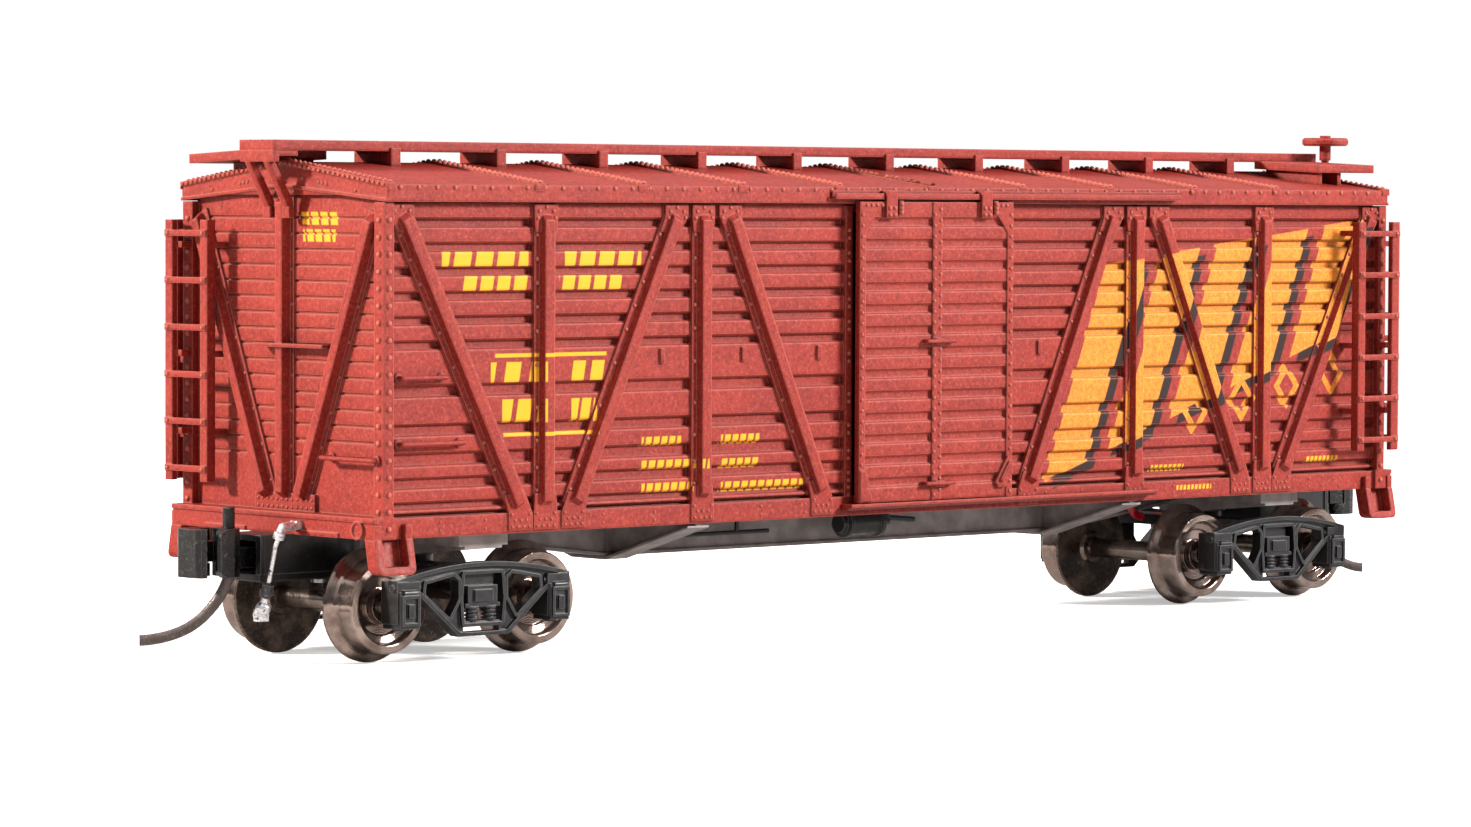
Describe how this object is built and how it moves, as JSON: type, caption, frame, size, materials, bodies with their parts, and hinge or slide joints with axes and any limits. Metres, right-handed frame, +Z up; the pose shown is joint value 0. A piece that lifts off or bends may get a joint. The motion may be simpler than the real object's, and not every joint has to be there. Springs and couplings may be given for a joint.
{
  "type": "railway stock car model",
  "caption": "Slatted outside-braced railway stock car model on swivelling trucks, with sliding side doors, ladders, running boards and swinging knuckle couplers.",
  "frame": {"origin": "on the rail-top plane, midway between the trucks and on the car's centre line", "axes": "+X along the car towards the hand-brake end, +Y to the car's left side, +Z up"},
  "size_m": [0.0946, 0.0202, 0.0292],
  "materials": {
    "oxide_red": "satin painted",
    "black_plastic": "matte",
    "bright_steel": "machined",
    "dark_wire": "dark oxide",
    "silver_paint": "bright",
    "red_insulation": "gloss",
    "nickel_axle": "polished",
    "blackened_metal": "polished, blackened"
  },
  "bodies": {
    "car_body": {"body_shell": "oxide_red", "roof": "oxide_red", "running_board": "oxide_red", "running_board_saddles": "oxide_red", "door_track_right": "oxide_red", "door_track_left": "oxide_red", "door_guide_right": "oxide_red", "door_guide_left": "oxide_red", "side_grab_irons": "oxide_red", "end_grab_irons": "oxide_red", "stirrup_steps": "oxide_red", "brake_staff_brackets": "oxide_red", "lateral_board_a": "oxide_red", "lateral_board_b": "oxide_red", "side_ladder_a": "oxide_red", "side_ladder_b": "oxide_red", "end_ladder_a": "oxide_red", "end_ladder_b": "oxide_red", "running_board_bracket_a": "oxide_red", "running_board_bracket_b": "oxide_red", "underframe": "black_plastic", "brake_cylinder": "black_plastic", "air_reservoir": "black_plastic", "control_valve": "black_plastic", "brake_rods": "black_plastic", "air_hoses": "black_plastic", "coupler_box_a": "black_plastic", "coupler_box_b": "black_plastic", "coupler_box_lid_a": "black_plastic", "coupler_box_lid_b": "black_plastic", "steel_weight": "bright_steel", "kingpin_screws": "bright_steel", "coupler_screws": "bright_steel", "coupler_springs": "bright_steel", "glad_hands": "silver_paint", "pickup_lead": "red_insulation"},
    "sliding_door_right": {"door_right": "oxide_red"},
    "sliding_door_left": {"door_left": "oxide_red"},
    "hand_brake": {"brake_wheel": "oxide_red", "brake_staff": "oxide_red"},
    "coupler_arm_a": {"coupler_a": "black_plastic", "trip_pin_a": "dark_wire"},
    "coupler_arm_b": {"coupler_b": "black_plastic", "trip_pin_b": "dark_wire"},
    "jaw_a": {"knuckle_a": "black_plastic"},
    "jaw_b": {"knuckle_b": "black_plastic"},
    "truck_a": {"truck_frame_a": "black_plastic"},
    "truck_b": {"truck_frame_b": "black_plastic"},
    "wheelset_1": {"axle_1": "nickel_axle", "wheels_1": "blackened_metal"},
    "wheelset_2": {"axle_2": "nickel_axle", "wheels_2": "blackened_metal"},
    "wheelset_3": {"axle_3": "nickel_axle", "wheels_3": "blackened_metal"},
    "wheelset_4": {"axle_4": "nickel_axle", "wheels_4": "blackened_metal"}
  },
  "joints": [
    {"name": "truck_a_swivel", "type": "hinge", "parent": "car_body", "child": "truck_a", "pos_m": [-0.03213, 0, 0.005], "axis": [0, 0, 1], "range_deg": [-12, 12]},
    {"name": "truck_b_swivel", "type": "hinge", "parent": "car_body", "child": "truck_b", "pos_m": [0.03213, 0, 0.005], "axis": [0, 0, 1], "range_deg": [-12, 12]},
    {"name": "wheelset_1_roll", "type": "hinge", "parent": "truck_a", "child": "wheelset_1", "pos_m": [-0.03737, 0, 0.00262], "axis": [0, 1, 0], "continuous": true},
    {"name": "wheelset_2_roll", "type": "hinge", "parent": "truck_a", "child": "wheelset_2", "pos_m": [-0.02689, 0, 0.00262], "axis": [0, 1, 0], "continuous": true},
    {"name": "wheelset_3_roll", "type": "hinge", "parent": "truck_b", "child": "wheelset_3", "pos_m": [0.02689, 0, 0.00262], "axis": [0, 1, 0], "continuous": true},
    {"name": "wheelset_4_roll", "type": "hinge", "parent": "truck_b", "child": "wheelset_4", "pos_m": [0.03737, 0, 0.00262], "axis": [0, 1, 0], "continuous": true},
    {"name": "coupler_a_swing", "type": "hinge", "parent": "car_body", "child": "coupler_arm_a", "pos_m": [-0.0406, 0, 0.0052], "axis": [0, 0, 1], "range_deg": [-10, 10], "stiffness_Nm_per_rad": 0.00002},
    {"name": "knuckle_a_open", "type": "hinge", "parent": "coupler_arm_a", "child": "jaw_a", "pos_m": [-0.04495, 0.00085, 0.00555], "axis": [0, 0, -1], "range_deg": [0, 35]},
    {"name": "coupler_b_swing", "type": "hinge", "parent": "car_body", "child": "coupler_arm_b", "pos_m": [0.0406, 0, 0.0052], "axis": [0, 0, 1], "range_deg": [-10, 10], "stiffness_Nm_per_rad": 0.00002},
    {"name": "knuckle_b_open", "type": "hinge", "parent": "coupler_arm_b", "child": "jaw_b", "pos_m": [0.04495, -0.00085, 0.00555], "axis": [0, 0, -1], "range_deg": [0, 35]},
    {"name": "door_right_slide", "type": "slide", "parent": "car_body", "child": "sliding_door_right", "axis": [1, 0, 0], "range_m": [0, 0.0123]},
    {"name": "door_left_slide", "type": "slide", "parent": "car_body", "child": "sliding_door_left", "axis": [-1, 0, 0], "range_m": [0, 0.0123]},
    {"name": "brake_wheel_turn", "type": "hinge", "parent": "car_body", "child": "hand_brake", "pos_m": [0.0417, -0.00245, 0.02828], "axis": [0, 0, 1], "continuous": true}
  ]
}
